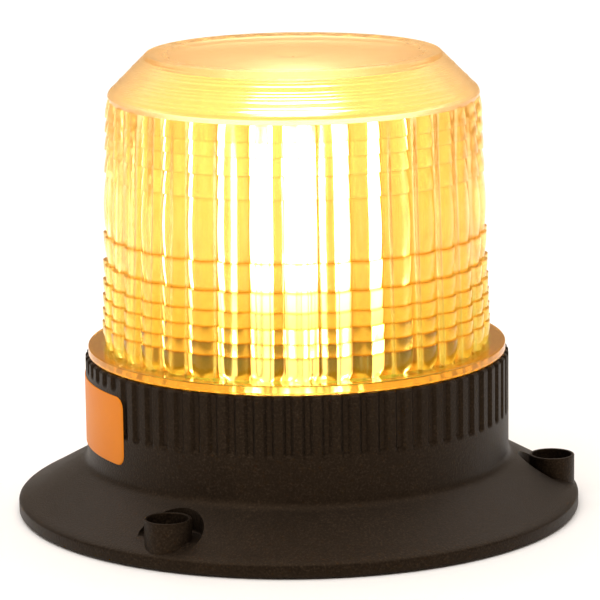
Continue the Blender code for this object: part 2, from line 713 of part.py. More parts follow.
def lens_rows():
    """Outer section of the lens as (radius, z, fluted) rows, from the crown down to the rim's foot."""
    lower_edges = LEDGE + np.cumsum((0.0, *LOWER_RING_HEIGHTS))
    belt_foot, belt_top = lower_edges[-1], lower_edges[-1] + BELT_HEIGHT
    upper_edges = belt_top + np.cumsum((0.0, *UPPER_RING_HEIGHTS))
    bead = lens_crest(upper_edges[-1]) - BEAD_INSET
    shoulder = upper_edges[-1] + BEAD_HEIGHT
    rows = [
        (bead - SHOULDER_RUN - CROWN_EDGE, shoulder + SHOULDER_RISE + CROWN_EDGE, 0.0),
        (bead - SHOULDER_RUN, shoulder + SHOULDER_RISE, 0.0),
        (bead, shoulder, 0.0),
        (bead, upper_edges[-1], 0.0),
    ]
    for foot, top in reversed(list(zip(upper_edges, upper_edges[1:]))):
        rows.append((lens_crest(top) - RING_SLOPE * (top - foot), top, 1.0))
        rows.append((lens_crest(foot), foot, 1.0))
    middle = (belt_foot + belt_top) / 2
    rows.append((lens_crest(belt_top) - BELT_BULGE, belt_top, 1.0))
    rows.append((lens_crest(middle), middle, 1.0))
    rows.append((lens_crest(belt_foot) - BELT_BULGE, belt_foot, 1.0))
    for foot, top in reversed(list(zip(lower_edges, lower_edges[1:]))):
        rows.append((lens_crest(top), top, 1.0))
        rows.append((lens_crest(foot) - RING_SLOPE * (top - foot), foot, 1.0))
    rows += [(RIM_RADIUS, LEDGE, 0.0), (RIM_RADIUS, RIM_FOOT, 0.0)]
    return rows, shoulder, bead


def add_skirt(bm):
    """The skirt inside the collar."""
    top = RIM_FOOT + RIM_HEIGHT / 2
    add_turned(bm, [(0.0, top), (SKIRT_RADIUS, top), (SKIRT_RADIUS, SKIRT_FOOT), (0.0, SKIRT_FOOT)], BORE_SIDES)


def add_lugs(bm):
    """The bayonet lugs on the skirt."""
    radii = (SKIRT_RADIUS - SKIRT_WALL / 2, LUG_RADIUS)
    for azimuth in lug_azimuths():
        azimuths = (azimuth - LUG_HALF_ANGLE, azimuth + LUG_HALF_ANGLE)
        add_sector(bm, radii, (LUG_BOTTOM, LUG_TOP), azimuths, LUG_SIDES)


def amber_lens(material, parent):
    """The lens: leaning columns crossed by prism rings, a sloping shoulder, and a skirt with lugs."""
    rows, shoulder, bead = lens_rows()
    samples = np.arange(FLUTE_COUNT * FLUTE_SIDES)
    phase = samples / FLUTE_SIDES % 1.0 - 0.5
    azimuths = FLUTE_CREST + (samples / FLUTE_SIDES - 0.5) * 2 * math.pi / FLUTE_COUNT
    valley = FLUTE_DEPTH * (1.0 - np.sqrt(1.0 - (2.0 * phase) ** 2))
    crown = rows[0][1]
    skins = [[(0.0, 0.0, crown - CROWN_DISH)]]
    for radius, z, fluted in rows:
        skins.append([around(r, a, z) for r, a in zip(radius - fluted * valley, azimuths)])
    skins.append([(0.0, 0.0, RIM_FOOT)])
    bm = bmesh.new()
    add_skin(bm, skins)
    lens = make("amber_lens", bm, material, parent)
    bm = bmesh.new()
    add_skirt(bm)
    combine(lens, "lens_skirt", "UNION", bm)
    bm = bmesh.new()
    add_lugs(bm)
    combine(lens, "lens_lugs", "UNION", bm)
    inner_top = crown - CROWN_DISH - CROWN_THICKNESS
    inner_shoulder = shoulder + SHOULDER_RISE - SHOULDER_RUN - CROWN_THICKNESS + CROWN_EDGE
    core = [
        (0.0, inner_top),
        (bead - SHOULDER_RUN - CROWN_THICKNESS, inner_top),
        (lens_crest(inner_shoulder) - LENS_WALL, inner_shoulder),
        (lens_crest(LEDGE) - LENS_WALL, LEDGE - RIM_HEIGHT / 2),
        (SKIRT_RADIUS - SKIRT_WALL, RIM_FOOT - RIM_HEIGHT),
        (SKIRT_RADIUS - SKIRT_WALL, SKIRT_FOOT - SKIRT_WALL),
        (0.0, SKIRT_FOOT - SKIRT_WALL),
    ]
    bm = bmesh.new()
    add_turned(bm, core, CORE_SIDES)
    combine(lens, "lens_core", "DIFFERENCE", bm)


def empty(name, place, parent=None):
    """An empty that carries pieces."""
    item = bpy.data.objects.new(name, None)
    item.location = place
    item.parent = parent
    bpy.context.scene.collection.objects.link(item)
    return item


def build():
    for item in list(bpy.data.objects):
        bpy.data.objects.remove(item, do_unlink=True)
    black = plastic("black_plastic", (0.020, 0.018, 0.016), 0.45)
    rubber = plastic("rubber", (0.030, 0.030, 0.032), 0.80)
    amber = plastic("amber_polycarbonate", (0.95, 0.48, 0.06), 0.15)
    board = plastic("green_board", (0.03, 0.20, 0.09), 0.50)
    white_board = plastic("white_board", (0.85, 0.85, 0.82), 0.50)
    lamp = plastic("lamp_yellow", (0.95, 0.80, 0.30), 0.35)
    aluminium = plastic("aluminium", (0.80, 0.80, 0.82), 0.35, 1.0)
    steel = plastic("steel", (0.60, 0.60, 0.62), 0.30, 1.0)
    can = plastic("capacitor_sleeve", (0.05, 0.07, 0.16), 0.40)
    ferrite = plastic("ferrite", (0.10, 0.09, 0.09), 0.60)
    chip = plastic("chip_black", (0.02, 0.02, 0.02), 0.50)
    green = plastic("terminal_green", (0.05, 0.35, 0.15), 0.45)
    white = plastic("white_plastic", (0.85, 0.85, 0.84), 0.40)

    beacon = empty("beacon", (0.0, 0.0, 0.0))
    lens_axis = empty("lens_axis", (0.0, 0.0, 0.0), beacon)
    base_flange(black, beacon)
    base_collar(black, beacon)
    deck_plate(black, beacon)
    base_gasket(rubber, beacon)
    cable_grommet(rubber, beacon)
    vent_plug(white, beacon)
    driver_board(board, beacon)
    for k, azimuth in enumerate(post_azimuths()):
        place = around(POST_CIRCLE_RADIUS, azimuth, 0.0)
        screw(f"board_screw_{k + 1}", place, PARTS_FOOT, BOARD_THICKNESS + SCREW_GRIP, False, steel, beacon)
    for k, azimuth in enumerate(tower_screw_azimuths()):
        place = around(TOWER_SCREW_RADIUS, azimuth, 0.0)
        seat = BOARD_BOTTOM - GAP
        screw(f"tower_screw_{k + 1}", place, seat, BOARD_THICKNESS + SCREW_GRIP, True, steel, beacon)
    heat_sink(aluminium, beacon)
    tower_cap(white, beacon)
    for number in range(TOWER_FACES):
        led_strip(number, white_board, lamp, beacon)
    for k, azimuth in enumerate(CAPACITOR_AZIMUTHS):
        capacitor(f"capacitor_{k + 1}", azimuth, can, beacon)
    inductor(INDUCTOR_AZIMUTH, ferrite, beacon)
    driver_chip(CHIP_AZIMUTH, chip, beacon)
    terminal_block(TERMINAL_AZIMUTH, green, beacon)
    lens_seal(rubber, beacon)
    amber_lens(amber, lens_axis)


build()
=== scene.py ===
"""Looks of the amber warning beacon: fluted lens, grained base, blank label and lit lamp tower.

Metres, +Z up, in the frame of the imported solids. Azimuths run from the front (-Y) towards +X.
"""

from __future__ import annotations

import logging
import math
from dataclasses import dataclass
from enum import Enum
from typing import Protocol

import bpy
import numpy as np
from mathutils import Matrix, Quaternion, Vector


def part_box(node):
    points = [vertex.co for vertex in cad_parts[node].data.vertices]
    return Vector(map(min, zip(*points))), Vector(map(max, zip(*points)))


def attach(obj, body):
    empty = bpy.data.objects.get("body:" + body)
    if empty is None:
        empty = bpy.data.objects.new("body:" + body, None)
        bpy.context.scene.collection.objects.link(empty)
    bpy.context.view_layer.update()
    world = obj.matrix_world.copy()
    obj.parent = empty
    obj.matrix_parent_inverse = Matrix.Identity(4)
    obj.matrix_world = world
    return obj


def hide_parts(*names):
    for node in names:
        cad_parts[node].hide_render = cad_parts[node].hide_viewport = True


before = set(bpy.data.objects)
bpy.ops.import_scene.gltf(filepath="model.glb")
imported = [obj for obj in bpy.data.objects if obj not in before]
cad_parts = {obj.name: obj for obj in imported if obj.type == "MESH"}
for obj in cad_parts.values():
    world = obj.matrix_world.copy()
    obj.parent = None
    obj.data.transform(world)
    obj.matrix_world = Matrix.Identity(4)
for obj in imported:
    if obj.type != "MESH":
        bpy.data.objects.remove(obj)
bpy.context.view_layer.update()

Array = np.ndarray
Colour = tuple[float, float, float]
Place = tuple[float, float, float]
Point = tuple[float, float]
WHITE: Colour = (1.0, 1.0, 1.0)
log = logging.getLogger("beacon")


class Body(str, Enum):
    """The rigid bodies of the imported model."""

    BASE = "base"
    LENS = "lens"


class Cut(str, Enum):
    """The two ways one solid shapes another."""

    ADD = "UNION"
    TAKE = "DIFFERENCE"


class Sig:
    """A shader value that takes part in Python arithmetic."""

    def __init__(self, graph: Graph, socket: bpy.types.NodeSocket) -> None:
        """Wrap one output socket of a graph."""
        self.graph = graph
        self.socket = socket

    def _math(self, operation: str, first: Sig | float, second: Sig | float) -> Sig:
        """Add one Math node."""
        return self.graph.node("ShaderNodeMath", {"operation": operation}, {0: first, 1: second})

    def __add__(self, other: Sig | float) -> Sig:
        """Sum of two values."""
        return self._math("ADD", self, other)

    def __sub__(self, other: Sig | float) -> Sig:
        """Difference of two values."""
        return self._math("SUBTRACT", self, other)

    def __rsub__(self, other: float) -> Sig:
        """A number less this value."""
        return self._math("SUBTRACT", other, self)

    def __mul__(self, other: Sig | float) -> Sig:
        """Product of two values."""
        return self._math("MULTIPLY", self, other)

    def __truediv__(self, other: Sig | float) -> Sig:
        """Quotient of two values."""
        return self._math("DIVIDE", self, other)

    def __rtruediv__(self, other: float) -> Sig:
        """A number divided by this value."""
        return self._math("DIVIDE", other, self)

    def __pow__(self, other: Sig | float) -> Sig:
        """Power of a value."""
        return self._math("POWER", self, other)

    def __rpow__(self, other: float) -> Sig:
        """A number to the power of this value."""
        return self._math("POWER", other, self)

    def greater(self, other: Sig | float) -> Sig:
        """One where this value is the larger, otherwise nought."""
        return self._math("GREATER_THAN", self, other)

    def larger(self, other: Sig | float) -> Sig:
        """The larger of two values."""
        return self._math("MAXIMUM", self, other)

    __radd__ = __add__
    __rmul__ = __mul__


class Graph:
    """A node tree that is filled one node at a time."""

    def __init__(self, tree: bpy.types.NodeTree) -> None:
        """Work in one tree."""
        self.tree = tree

    def put(self, socket: bpy.types.NodeSocket, value: Sig | float | tuple) -> None:
        """Link a value to a socket, or set the socket to a number or colour.

        Args:
            socket: The input socket.
            value: A shader value, a number, a vector or a colour.
        """
        if isinstance(value, Sig):
            self.tree.links.new(value.socket, socket)
        elif isinstance(value, tuple) and socket.type == "RGBA":
            socket.default_value = (*value[:3], 1.0)
        else:
            socket.default_value = value

    def node(self, kind: str, settings: dict, inputs: dict, output: int | str = 0) -> Sig:
        """Add a node of any type.

        Args:
            kind: The node's type.
            settings: Properties to set first; "stops" holds a ramp's (place, colour) pairs.
            inputs: Socket name or number to a value or link.
            output: The output socket to return.

        Returns:
            The chosen output.
        """
        made = self.tree.nodes.new(kind)
        for key, value in settings.items():
            if key == "stops":
                ramp = made.color_ramp.elements
                while len(ramp) < len(value):
                    ramp.new(0.5)
                for stop, (place, colour) in zip(ramp, value):
                    stop.position = place
                    stop.color = (*colour, 1.0)
            else:
                setattr(made, key, value)
        for key, value in inputs.items():
            self.put(made.inputs[key], value)
        return Sig(self, made.outputs[output])

    def place(self) -> Sig:
        """Object coordinates, which are the row frame in metres."""
        return self.node("ShaderNodeTexCoord", {}, {}, "Object")

    def axis(self, place: Sig, letter: str) -> Sig:
        """One coordinate of a place."""
        return self.node("ShaderNodeSeparateXYZ", {}, {0: place}, letter)

    def point_value(self, name: str) -> Sig:
        """A value that the piece carries at its points."""
        return self.node("ShaderNodeAttribute", {"attribute_name": name}, {}, "Fac")

    def noise(self, place: Sig, size: float, detail: float = 2.0, rough: float = 0.5) -> Sig:
        """Noise from nought to one whose lumps are about one size across."""
        inputs = {"Vector": place, "Scale": 1.0 / size, "Detail": detail, "Roughness": rough}
        return self.node("ShaderNodeTexNoise", {}, inputs)

    def ramp(self, value: Sig, *stops: tuple[float, Colour]) -> Sig:
        """Colours along a value."""
        return self.node("ShaderNodeValToRGB", {"stops": stops}, {0: value})

    def blend(self, share: Sig | float, first: Sig | Colour, second: Sig | Colour) -> Sig:
        """A colour between two others."""
        inputs = {0: share, 6: first, 7: second}
        return self.node("ShaderNodeMix", {"data_type": "RGBA"}, inputs, 2)

    def bump(self, height: Sig, depth: float) -> Sig:
        """A normal from a height of nought to one, standing one depth tall."""
        return self.node("ShaderNodeBump", {}, {"Height": height, "Distance": depth})


class MaterialGraph(Graph):
    """The node tree of one material, with a Principled shader at its end."""

    def __init__(self, name: str) -> None:
        """Make an empty material with its shader and output.

        Args:
            name: The material's name.
        """
        self.material = bpy.data.materials.new(name)
        self.material.use_nodes = True
        super().__init__(self.material.node_tree)
        self.tree.nodes.clear()
        self.shader = self.tree.nodes.new("ShaderNodeBsdfPrincipled")
        output = self.tree.nodes.new("ShaderNodeOutputMaterial")
        self.tree.links.new(self.shader.outputs[0], output.inputs["Surface"])

    def set(self, **sockets: Sig | float | tuple) -> None:
        """Feed the shader; words_with_underscores name its sockets."""
        for key, value in sockets.items():
            self.put(self.shader.inputs[key.replace("_", " ").title().replace("Ior", "IOR")], value)


def dimmed(colour: Colour, level: float) -> Colour:
    """A colour at a share of its level."""
    return tuple(level * part for part in colour)


class Finish(Protocol):
    """Anything that can make its own material."""

    def material(self) -> bpy.types.Material:
        """The finish as a material."""


@dataclass(frozen=True)
class GrainedPlastic:
    """Black plastic from a spark-eroded mould: a fine grain, faintly mottled."""

    name: str = "grained_black_plastic"
    dark: Colour = (0.0040, 0.0027, 0.0018)
    middle: Colour = (0.0110, 0.0076, 0.0050)
    light: Colour = (0.0300, 0.0210, 0.0140)
    sheen: Colour = (1.0, 0.66, 0.40)
    roughness: float = 0.47
    reflection: float = 0.33
    ior: float = 1.38
    grain: float = 0.0006
    mottle: float = 0.012
    depth: float = 0.00014
    grain_tone: float = 0.85
    mottle_tone: float = 0.15
    tone_stops: tuple[float, float, float] = (0.40, 0.54, 0.70)
    grain_gloss: float = 0.25
    mottle_gloss: float = 0.1

    def material(self) -> bpy.types.Material:
        """Grain drives the bump and most of the tone and gloss, and a slow mottle the rest.

        Returns:
            The material.
        """
        g = MaterialGraph(self.name)
        place = g.place()
        grain = g.noise(place, self.grain, detail=3.0, rough=0.6)
        mottle = g.noise(place, self.mottle)
        speck = grain * self.grain_tone + mottle * self.mottle_tone
        tone = g.ramp(speck, *zip(self.tone_stops, (self.dark, self.middle, self.light)))
        gloss = self.roughness + (grain - 0.5) * self.grain_gloss + (mottle - 0.5) * self.mottle_gloss
        g.set(base_color=tone, roughness=gloss)
        g.set(specular_ior_level=self.reflection, specular_tint=self.sheen, ior=self.ior)
        g.set(normal=g.bump(grain, self.depth))
        return g.material


@dataclass(frozen=True)
class AmberPolycarbonate:
    """Amber lens plastic, painted shade, and a painted glow for lamp light running round inside it.

    The piece that wears it carries four values at its points: groove is one in the valleys between
    columns, ledge is one on the edges of the prism rings, low is one at the foot of the columns, and
    pale is one in the middle of the crown and falls off outwards. Valleys and ring edges take painted
    shade, a deeper amber; the foot of the columns takes a painted yellow-green light; the middle of the
    crown takes a painted pale light.
    """

    name: str = "amber_polycarbonate"
    body: Colour = (1.0, 0.75, 0.34)
    # Painted shade: the next two deeper ambers go in the column valleys and on the ring edges.
    valley_shade: Colour = (0.55, 0.22, 0.02)
    edge: Colour = (0.56, 0.20, 0.004)
    # Painted light: the foot of the columns takes this yellow-green tint and a yellow-green glow.
    low: Colour = (0.68, 0.55, 0.11)
    # Painted light: the crown's middle takes a pale cream tint and a cream glow.
    crown_light_tint: Colour = (1.0, 0.75, 0.44)
    # Painted glow: the lens is no lamp; these emission colours stand in for the lamp light inside it.
    body_glow: Colour = (0.080, 0.034, 0.002)
    edge_glow: Colour = (0.110, 0.040, 0.0004)
    low_glow: Colour = (0.090, 0.066, 0.002)
    cream_glow: Colour = (0.20, 0.090, 0.018)
    sheen: Colour = (1.0, 0.72, 0.35)
    reflection: float = 0.25
    ior: float = 1.49
    roughness: float = 0.12
    crown_haze: float = 0.28
    ripple: float = 0.006
    ripple_gloss: float = 0.05
    ripple_depth: float = 0.00004

    def material(self) -> bpy.types.Material:
        """A tinted dielectric with faint flow ripples in its surface, hazier on the crown.

        Returns:
            The material.
        """
        g = MaterialGraph(self.name)
        ripple = g.noise(g.place(), self.ripple, detail=1.0)
        groove, ledge, low, pale = (g.point_value(name) for name in ("groove", "ledge", "low", "pale"))
        # The columns take a painted yellow-green light towards their foot, and painted shade in the valleys.
        column = g.blend(groove, g.blend(low, self.body, self.low), self.valley_shade)
        # Painted pale light: the crown's middle takes a cream tint over the painted edge shade.
        tint = g.blend(pale, g.blend(ledge, column, self.edge), self.crown_light_tint)
        # Where the painted shade lies: the column valleys and the ring edges.
        line = groove + ledge - groove * ledge
        # Painted glow of the lens body, yellow-green towards the columns' foot.
        inside = g.blend(low, self.body_glow, self.low_glow)
        # Painted glow, deeper orange on valleys and ring edges and cream in the crown's middle.
        glow = g.blend(pale, g.blend(line, inside, self.edge_glow), self.cream_glow)
        haze = self.roughness + ripple * self.ripple_gloss + pale * self.crown_haze
        g.set(base_color=tint, roughness=haze, transmission_weight=1.0, ior=self.ior)
        # The emission is painted lamp light.
        g.set(emission_color=glow, emission_strength=1.0)
        g.set(specular_ior_level=self.reflection, specular_tint=self.sheen)
        g.set(normal=g.bump(ripple, self.ripple_depth))
        return g.material


@dataclass(frozen=True)
class LampGlow:
    """A lit phosphor face, faintly speckled; on a part that is no lamp, a painted glow."""

    name: str
    colour: Colour
    strength: float
    face: Colour = (0.85, 0.62, 0.18)
    pale_face: Colour = (0.95, 0.80, 0.35)
    roughness: float = 0.4
    speckle: float = 0.0012
    speckle_level: float = 0.85

    def material(self) -> bpy.types.Material:
        """Speckled emission over a pale yellow face.

        Returns:
            The material.
        """
        g = MaterialGraph(self.name)
        speckle = g.noise(g.place(), self.speckle)
        g.set(base_color=g.blend(speckle, self.face, self.pale_face), roughness=self.roughness)
        g.set(emission_color=g.blend(speckle, self.colour, dimmed(self.colour, self.speckle_level)))
        g.set(emission_strength=self.strength)
        return g.material


@dataclass(frozen=True)
class Rubber:
    """Dull black rubber with a dusty bloom."""

    name: str = "moulded_rubber"
    colour: Colour = (0.020, 0.020, 0.021)
    bloom: Colour = (0.055, 0.054, 0.052)
    roughness: float = 0.7
    pit: float = 0.0007
    pit_depth: float = 0.00004
    pit_gloss: float = 0.2
    patch: float = 0.009
    patch_power: float = 2.0

    def material(self) -> bpy.types.Material:
        """Bloom gathers in slow patches over a fine pitted face.

        Returns:
            The material.
        """
        g = MaterialGraph(self.name)
        place = g.place()
        pits = g.noise(place, self.pit, detail=3.0)
        patch = g.noise(place, self.patch, detail=3.0)
        g.set(base_color=g.blend(patch ** self.patch_power, self.colour, self.bloom))
        g.set(roughness=self.roughness + pits * self.pit_gloss, normal=g.bump(pits, self.pit_depth))
        return g.material


@dataclass(frozen=True)
class BareMetal:
    """Metal with drawing lines along one axis."""

    name: str
    colour: Colour
    roughness: float
    line: float = 0.0004
    line_depth: float = 0.00002
    line_level: float = 0.8
    line_gloss: float = 0.2
    stretch: Place = (1.0, 1.0, 0.02)

    def material(self) -> bpy.types.Material:
        """Noise stretched along Z makes the drawing lines.

        Returns:
            The material.
        """
        g = MaterialGraph(self.name)
        along = g.node("ShaderNodeMapping", {}, {"Vector": g.place(), "Scale": self.stretch})
        lines = g.noise(along, self.line)
        g.set(base_color=g.blend(lines, self.colour, dimmed(self.colour, self.line_level)), metallic=1.0)
        g.set(roughness=self.roughness + (lines - 0.5) * self.line_gloss)
        g.set(normal=g.bump(lines, self.line_depth))
        return g.material


@dataclass(frozen=True)
class CircuitBoard:
    """Solder mask over copper with tracks as a lighter network; any glow is painted light, dimmer at its
    foot.
    """

    name: str
    mask: Colour
    track: Colour
    # glow: painted lamp light; the board is no lamp.
    glow: Colour = (0.0, 0.0, 0.0)
    glow_strength: float = 0.0
    glow_foot: float = 0.062
    glow_full: float = 0.084
    foot_level: float = 0.12
    pitch: float = 0.0035
    track_width: float = 0.12
    track_depth: float = 0.00003
    roughness: float = 0.45
    track_gloss: float = 0.1

    def material(self) -> bpy.types.Material:
        """Cell edges stand for the tracks, raised by the copper under the mask.

        Returns:
            The material.
        """
        g = MaterialGraph(self.name)
        place = g.place()
        inputs = {"Vector": place, "Scale": 1.0 / self.pitch}
        cells = g.node("ShaderNodeTexVoronoi", {"feature": "DISTANCE_TO_EDGE"}, inputs)
        track = 1.0 - cells.greater(self.track_width)
        g.set(base_color=g.blend(track, self.mask, self.track))
        g.set(roughness=self.roughness - track * self.track_gloss, normal=g.bump(track, self.track_depth))
        # Painted lamp light on the board, dimmer towards its foot.
        if self.glow_strength:
            height = (g.axis(place, "Z") - self.glow_foot) / (self.glow_full - self.glow_foot)
            dim = dimmed(self.glow, self.foot_level)
            g.set(emission_color=g.ramp(height, (0.0, dim), (1.0, self.glow)))
            g.set(emission_strength=self.glow_strength)
        return g.material


@dataclass(frozen=True)
class MouldedPart:
    """Small moulded or potted part in one hue, slightly uneven."""

    name: str
    colour: Colour
    roughness: float
    lump: float = 0.0015
    lump_depth: float = 0.00003
    lump_level: float = 0.75
    lump_gloss: float = 0.15

    def material(self) -> bpy.types.Material:
        """Fine noise in tone and gloss.

        Returns:
            The material.
        """
        g = MaterialGraph(self.name)
        uneven = g.noise(g.place(), self.lump, detail=3.0)
        g.set(base_color=g.blend(uneven, self.colour, dimmed(self.colour, self.lump_level)))
        g.set(roughness=self.roughness + (uneven - 0.5) * self.lump_gloss)
        g.set(normal=g.bump(uneven, self.lump_depth))
        return g.material


@dataclass(frozen=True)
class StickerFilm:
    """Plain orange film under a thin clear coat."""

    name: str = "orange_sticker_film"
    colour: Colour = (0.78, 0.215, 0.008)
    faded: Colour = (0.84, 0.270, 0.014)
    fade: float = 0.014
    fade_tone: float = 0.7
    fibre: float = 0.0006
    fibre_tone: float = 0.3
    fibre_gloss: float = 0.12
    fibre_depth: float = 0.000015
    roughness: float = 0.38
    reflection: float = 0.1
    coat: float = 0.03
    coat_fade: float = 0.03
    coat_roughness: float = 0.2

    def material(self) -> bpy.types.Material:
        """A slow fade and a fibre grain in the film.

        Returns:
            The material.
        """
        g = MaterialGraph(self.name)
        place = g.place()
        fade = g.noise(place, self.fade)
        fibre = g.noise(place, self.fibre)
        age = fade * self.fade_tone + fibre * self.fibre_tone
        g.set(base_color=g.blend(age, self.colour, self.faded), specular_ior_level=self.reflection)
        g.set(roughness=self.roughness + fibre * self.fibre_gloss, normal=g.bump(fibre, self.fibre_depth))
        g.set(coat_weight=self.coat + fade * self.coat_fade, coat_roughness=self.coat_roughness)
        return g.material


class Skin:
    """Meshes from whole arrays of points."""

    @staticmethod
    def ring(azimuths: Array, radii: Array, heights: Array) -> Array:
        """Points at radius and azimuth: x = r sin a, y = -r cos a.

        Args:
            azimuths: Angles from the front, by column.
            radii: Radii, by row and column.
            heights: Heights, by row and column.

        Returns:
            An array of rows, columns and x, y, z.
        """
        turns, radii, heights = np.broadcast_arrays(azimuths, radii, heights)
        return np.stack([radii * np.sin(turns), -radii * np.cos(turns), heights], axis=-1)

    @staticmethod
    def mesh(name: str, rows: Array, loop: bool = False, sharp: float = 35.0) -> bpy.types.Object:
        """A closed skin over rings of points, top to bottom on the outside.

        Args:
            name: The object's name.
            rows: Rings as rows, columns and x, y, z. Without loop, the first and last ring
                are closed by a pole at their middle.
            loop: Whether the last ring joins the first.
            sharp: Edges sharper than this many degrees stay hard.

        Returns:
            The new object.
        """
        count, sides = rows.shape[:2]
        index = np.arange(count * sides).reshape(count, sides)
        right = np.roll(index, -1, axis=1)
        last = count if loop else count - 1
        below, below_right = np.roll(index, -1, axis=0), np.roll(right, -1, axis=0)
        quads = np.stack([index[:last], below[:last], below_right[:last], right[:last]], axis=-1)
        points = rows.reshape(-1, 3)
        faces = quads.reshape(-1, 4).tolist()
        if not loop:
            ends = np.stack([rows[0].mean(axis=0), rows[-1].mean(axis=0)])
            top, bottom = len(points), len(points) + 1
            points = np.concatenate([points, ends])
            faces += np.stack([np.full(sides, top), index[0], right[0]], axis=-1).tolist()
            faces += np.stack([np.full(sides, bottom), right[-1], index[-1]], axis=-1).tolist()
        mesh = bpy.data.meshes.new(name)
        mesh.from_pydata(points.tolist(), [], faces)
        item = bpy.data.objects.new(name, mesh)
        bpy.context.scene.collection.objects.link(item)
        Skin.shade(item, sharp)
        return item

    @staticmethod
    def carry(item: bpy.types.Object, name: str, values: Array) -> None:
        """Store a value at the first points of a piece, and nought at the rest.

        Args:
            item: The piece.
            name: The value's name.
            values: The value at each of the first points, in order.
        """
        padded = np.zeros(len(item.data.vertices), dtype=np.float32)
        padded[:values.size] = values.ravel()
        item.data.attributes.new(name, "FLOAT", "POINT").data.foreach_set("value", padded)

    @staticmethod
    def shade(item: bpy.types.Object, sharp: float) -> None:
        """Smooth shading with hard edges past an angle in degrees."""
        item.data.shade_smooth()
        item.data.set_sharp_from_angle(angle=math.radians(sharp))

    @staticmethod
    def turned(name: str, profile: Array, sides: int, centre: Array, turn: float) -> bpy.types.Object:
        """A profile turned round an upright line.

        Args:
            name: The object's name.
            profile: (radius, height) rows.
            sides: How many flat sides it has.
            centre: Where the line stands, as x and y.
            turn: How far its corners are turned, as a share of one side.

        Returns:
            The new object.
        """
        azimuths = (np.arange(sides) + turn) * 2 * math.pi / sides
        rows = Skin.ring(azimuths, profile[:, :1], profile[:, 1:])
        rows[..., :2] += centre
        return Skin.mesh(name, rows)

    @staticmethod
    def shape(item: bpy.types.Object, tools: list[bpy.types.Object], cut: Cut, sharp: float) -> None:
        """Add tools to a piece or take them from it, and keep the result as its mesh.

        Args:
            item: The piece.
            tools: The closed meshes to use, which are removed afterwards.
            cut: Whether they are added or taken away.
            sharp: Edges sharper than this many degrees stay hard.
        """
        for tool in tools:
            step = item.modifiers.new(tool.name, "BOOLEAN")
            step.operation = cut.value
            step.solver = "EXACT"
            step.object = tool
        bpy.context.view_layer.update()
        done = item.evaluated_get(bpy.context.evaluated_depsgraph_get())
        mesh = bpy.data.meshes.new_from_object(done)
        item.modifiers.clear()
        item.data = mesh
        for tool in tools:
            bpy.data.objects.remove(tool, do_unlink=True)
        Skin.shade(item, sharp)


def arc(centre: Point, radius: float, start: float, end: float, count: int) -> Array:
    """Points (radius, height) along a circle arc between two angles in degrees."""
    angles = np.radians(np.linspace(start, end, count))
    return np.stack([centre[0] + radius * np.cos(angles), centre[1] + radius * np.sin(angles)], axis=-1)


def run(start: Point, end: Point, count: int) -> Array:
    """Points (radius, height) along a straight line."""
    return np.linspace(start, end, count)


def bend(start: Point, corner: Point, end: Point, count: int) -> Array:
    """Points (radius, height) along the curve (1 - t)^2 start + 2t(1 - t) corner + t^2 end."""
    t = np.linspace(0.0, 1.0, count)[:, None]
    return (1 - t) ** 2 * np.array(start) + 2 * t * (1 - t) * np.array(corner) + t ** 2 * np.array(end)


def smoothstep(value: Array) -> Array:
    """The S-curve 3t^2 - 2t^3 of a value held between nought and one."""
    held = np.clip(value, 0.0, 1.0)
    return held * held * (3.0 - 2.0 * held)


def dress(item: bpy.types.Object, material: bpy.types.Material) -> None:
    """Give an object one material in its first slot.

    Args:
        item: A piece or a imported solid.
        material: What it wears.
    """
    if not item.data.materials:
        item.data.materials.append(material)
    item.data.materials[0] = material
    log.info("%s wears %s", item.name, material.name)


def keep(item: bpy.types.Object, body: Body, slot: str, *nodes: str) -> None:
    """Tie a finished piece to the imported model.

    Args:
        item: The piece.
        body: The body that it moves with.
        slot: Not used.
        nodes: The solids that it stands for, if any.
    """
    if nodes:
        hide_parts(*nodes)
    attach(item, body.value)
    log.info("%s: %d faces", item.name, len(item.data.polygons))


